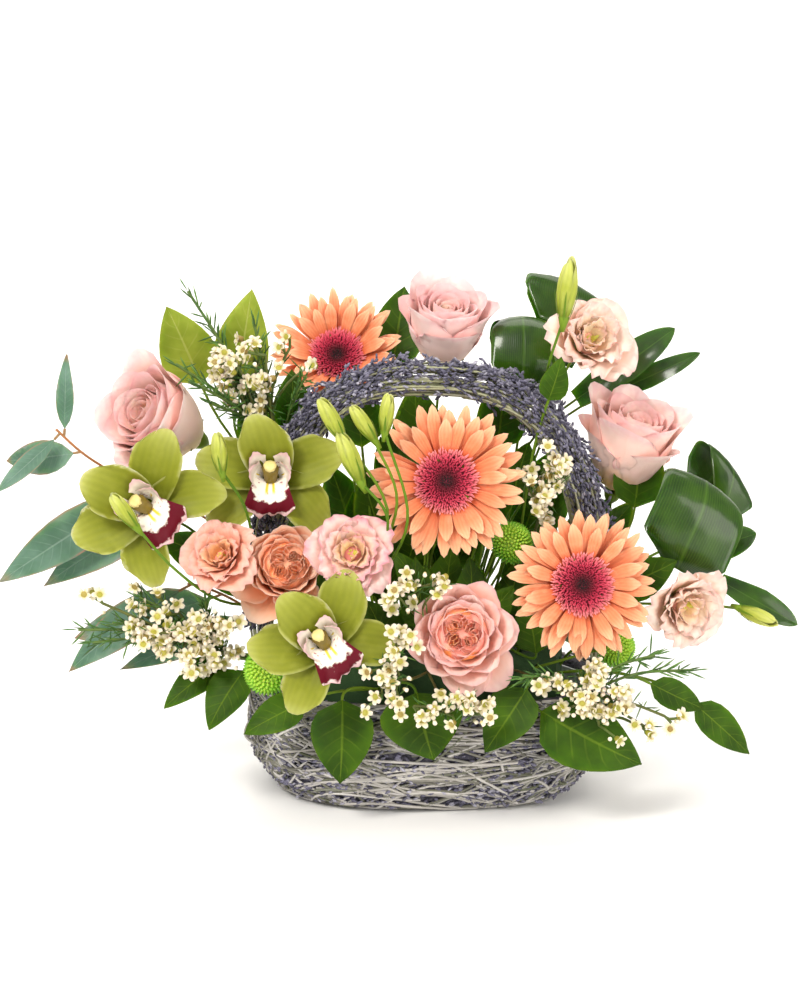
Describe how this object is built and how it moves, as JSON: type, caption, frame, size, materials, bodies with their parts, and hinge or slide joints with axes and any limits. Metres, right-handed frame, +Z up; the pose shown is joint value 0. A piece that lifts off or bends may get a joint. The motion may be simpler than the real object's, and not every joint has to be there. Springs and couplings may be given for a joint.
{
  "type": "flower basket arrangement",
  "caption": "Oval basket wound from dried lavender, with an arched carrying handle, filled with gerberas, roses, lisianthus, orchids, waxflower and foliage standing in wet foam.",
  "frame": {"origin": "middle of the basket's flat underside, on the table", "axes": "+Z up, +X to the right as seen from the front, +Y away from the viewer"},
  "size_m": [0.555, 0.2552, 0.38],
  "materials": {
    "dried_stalks": "matte",
    "lavender": "matte",
    "liner_film": "satin",
    "wet_foam": "matte",
    "gerbera_petal": "matte",
    "gerbera_floret": "matte",
    "rose_petal": "matte",
    "peach_rose_petal": "matte",
    "lisianthus_petal": "matte",
    "flower_stem": "satin",
    "orchid_tepal": "satin",
    "orchid_lip": "satin",
    "mum_floret": "matte",
    "waxflower": "matte",
    "lemon_leaf": "satin",
    "aspidistra_leaf": "gloss",
    "eucalyptus_leaf": "matte"
  },
  "bodies": {
    "root": {"aspidistra_right_back": "aspidistra_leaf", "aspidistra_right_front": "aspidistra_leaf", "aspidistra_top_left": "aspidistra_leaf", "aspidistra_top_right": "aspidistra_leaf", "basket": "dried_stalks", "eucalyptus_lower": "eucalyptus_leaf", "eucalyptus_upper": "eucalyptus_leaf", "foam": "wet_foam", "gerbera_back_disc": "gerbera_floret", "gerbera_back_petals": "gerbera_petal", "gerbera_back_stem": "flower_stem", "gerbera_front_disc": "gerbera_floret", "gerbera_front_petals": "gerbera_petal", "gerbera_front_stem": "flower_stem", "gerbera_right_disc": "gerbera_floret", "gerbera_right_petals": "gerbera_petal", "gerbera_right_stem": "flower_stem", "handle": "lavender", "lemon_leaf_back_left": "lemon_leaf", "lemon_leaf_back_right": "lemon_leaf", "lemon_leaf_front_left": "lemon_leaf", "lemon_leaf_front_right": "lemon_leaf", "lemon_leaf_low_left": "lemon_leaf", "lemon_leaf_top": "lemon_leaf", "lemon_leaf_upper_left": "lemon_leaf", "liner": "liner_film", "lisianthus_front": "lisianthus_petal", "lisianthus_front_stem": "flower_stem", "lisianthus_left": "lisianthus_petal", "lisianthus_left_stem": "flower_stem", "lisianthus_right": "lisianthus_petal", "lisianthus_right_stem": "flower_stem", "lisianthus_top": "lisianthus_petal", "lisianthus_top_stem": "flower_stem", "mum_left": "mum_floret", "mum_middle": "mum_floret", "mum_right": "mum_floret", "orchid_left": "orchid_tepal", "orchid_left_lip": "orchid_lip", "orchid_low": "orchid_tepal", "orchid_low_lip": "orchid_lip", "orchid_middle": "orchid_tepal", "orchid_middle_lip": "orchid_lip", "rose_back": "rose_petal", "rose_back_stem": "flower_stem", "rose_front": "rose_petal", "rose_front_stem": "flower_stem", "rose_left": "rose_petal", "rose_left_stem": "flower_stem", "rose_peach": "peach_rose_petal", "rose_peach_stem": "flower_stem", "rose_right": "rose_petal", "rose_right_stem": "flower_stem", "ruscus_right": "lemon_leaf", "waxflower_front": "waxflower", "waxflower_left": "waxflower", "waxflower_middle": "waxflower", "waxflower_right": "waxflower", "waxflower_upper_left": "waxflower"}
  },
  "joints": []
}
